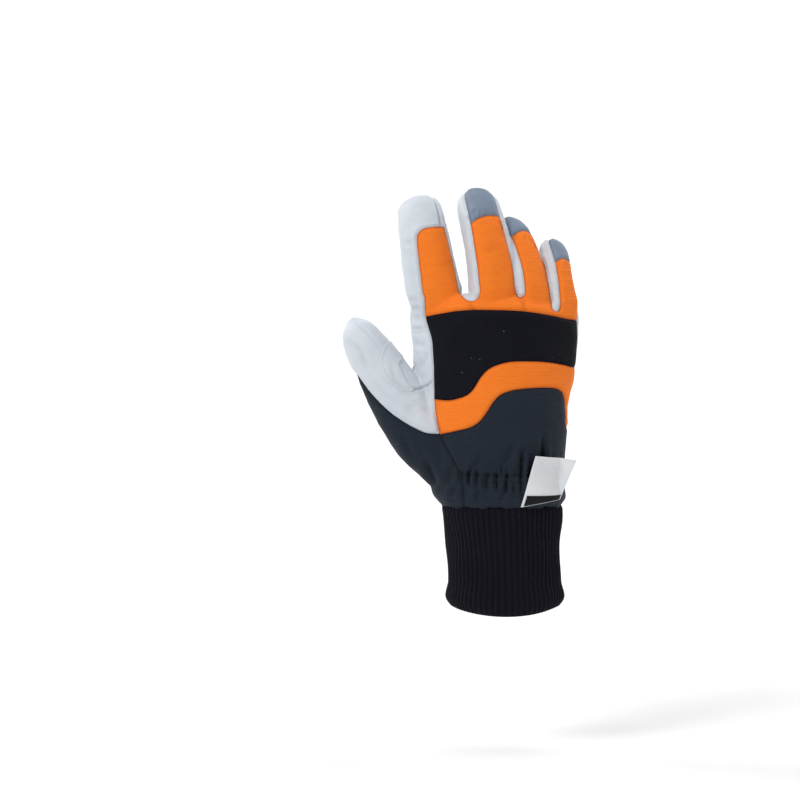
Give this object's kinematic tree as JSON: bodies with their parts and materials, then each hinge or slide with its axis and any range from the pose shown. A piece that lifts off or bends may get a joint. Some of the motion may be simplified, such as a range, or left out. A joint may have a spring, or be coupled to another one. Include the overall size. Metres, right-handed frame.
{
  "type": "work glove",
  "caption": "Padded leather and fabric work glove for the right hand, with a ribbed knit cuff and coloured panels on its back, hollow and open at the wrist.",
  "frame": {"origin": "centre of the cuff's mouth, where the wrist goes in", "axes": "+Z along the hand towards the fingertips, +X from the thumb's side to the little finger's side, +Y from the back of the hand to the palm"},
  "size_m": [0.1541, 0.0646, 0.2776],
  "materials": {
    "white_leather": "smooth grain leather, off-white",
    "orange_fabric": "finely ribbed stretch fabric, bright orange",
    "black_fabric": "matte stretch fabric",
    "navy_fabric": "finely ribbed stretch fabric, dark blue-grey",
    "reflective_grey": "reflective coated cloth, silver grey",
    "black_knit": "rib knit",
    "label_white": "smooth woven ribbon, left blank",
    "label_black": "smooth woven ribbon, left blank"
  },
  "bodies": {
    "root": {"knuckle_panel": "orange_fabric", "middle_tip": "reflective_grey", "ring_tip": "reflective_grey", "little_tip": "reflective_grey", "back_band": "black_fabric", "wave_band": "orange_fabric", "wrist_back": "navy_fabric", "thumb_gusset": "navy_fabric", "thumb_back": "white_leather", "palm_leather": "white_leather", "middle_front": "white_leather", "ring_front": "white_leather", "fourchette_index_middle": "white_leather", "fourchette_middle_ring": "white_leather", "fourchette_ring_little": "white_leather", "palm_patch": "white_leather", "crotch_strap": "white_leather", "knit_cuff": "black_knit", "care_label": "label_white", "label_strip": "label_black"}
  },
  "joints": []
}
